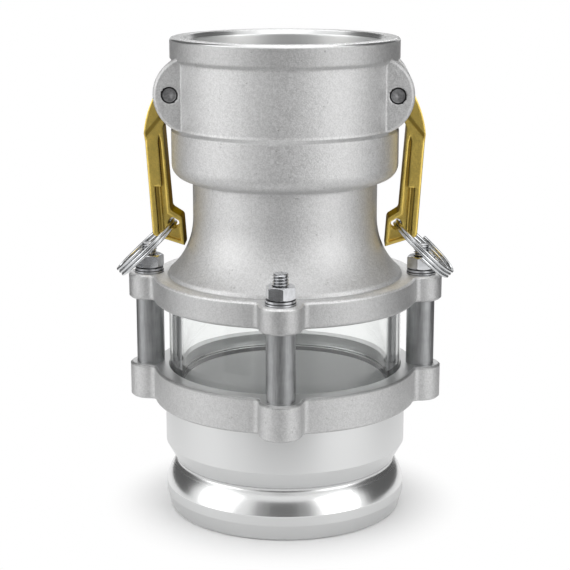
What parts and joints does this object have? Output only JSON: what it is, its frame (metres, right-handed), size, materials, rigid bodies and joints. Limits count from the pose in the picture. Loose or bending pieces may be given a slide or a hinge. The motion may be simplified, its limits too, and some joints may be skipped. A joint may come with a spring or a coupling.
{
  "type": "cam and groove sight glass",
  "caption": "Cam and groove sight glass: female cam coupler with hinged arms and pull rings, bolted to a male groove adapter over a clear glass cylinder, for watching flow in a hose line.",
  "frame": {"origin": "centre of the adapter nose's bottom face, on the flow axis", "axes": "+Z along the flow axis towards the coupler mouth, +X towards the right cam arm, -Y towards the front stud"},
  "size_m": [0.1664, 0.1548, 0.234],
  "materials": {
    "cast_aluminium": "sand cast skin with fine speckle; bright machined mouth, nose and groove",
    "brass_arm": "cast brass, satin",
    "dark_steel": "dark plain steel pin",
    "ring_wire": "bright drawn wire",
    "sleeve_steel": "dull grey drawn tube",
    "zinc_steel": "bright zinc plate",
    "sight_glass": "clear polished glass",
    "seal_rubber": "black nitrile rubber"
  },
  "bodies": {
    "fitting": {"adapter_body": "cast_aluminium", "coupler_body": "cast_aluminium", "coupler_gasket": "seal_rubber", "glass_tube": "sight_glass", "lower_glass_gasket": "seal_rubber", "upper_glass_gasket": "seal_rubber", "flat_washers": "zinc_steel", "lock_washers": "zinc_steel", "hex_nuts": "zinc_steel", "cam_pin_left": "dark_steel", "cam_pin_right": "dark_steel", "stud_front": "zinc_steel", "spacer_sleeve_front": "sleeve_steel", "stud_right": "zinc_steel", "spacer_sleeve_right": "sleeve_steel", "stud_back": "zinc_steel", "spacer_sleeve_back": "sleeve_steel", "stud_left": "zinc_steel", "spacer_sleeve_left": "sleeve_steel"},
    "left_arm": {"cam_arm_left": "brass_arm"},
    "right_arm": {"cam_arm_right": "brass_arm"},
    "left_ring": {"pull_ring_left": "ring_wire"},
    "right_ring": {"pull_ring_right": "ring_wire"}
  },
  "joints": [
    {"name": "right_arm_hinge", "type": "hinge", "parent": "fitting", "child": "right_arm", "pos_m": [0.0535, 0, 0.2083], "axis": [0, -1, 0], "range_deg": [0, 110]},
    {"name": "left_arm_hinge", "type": "hinge", "parent": "fitting", "child": "left_arm", "pos_m": [-0.0535, 0, 0.2083], "axis": [0, 1, 0], "range_deg": [0, 110]},
    {"name": "right_ring_hinge", "type": "hinge", "parent": "right_arm", "child": "right_ring", "pos_m": [0.0544, 0, 0.1438], "axis": [0, -1, 0], "range_deg": [0, 90]},
    {"name": "left_ring_hinge", "type": "hinge", "parent": "left_arm", "child": "left_ring", "pos_m": [-0.0544, 0, 0.1438], "axis": [0, 1, 0], "range_deg": [0, 90]}
  ]
}
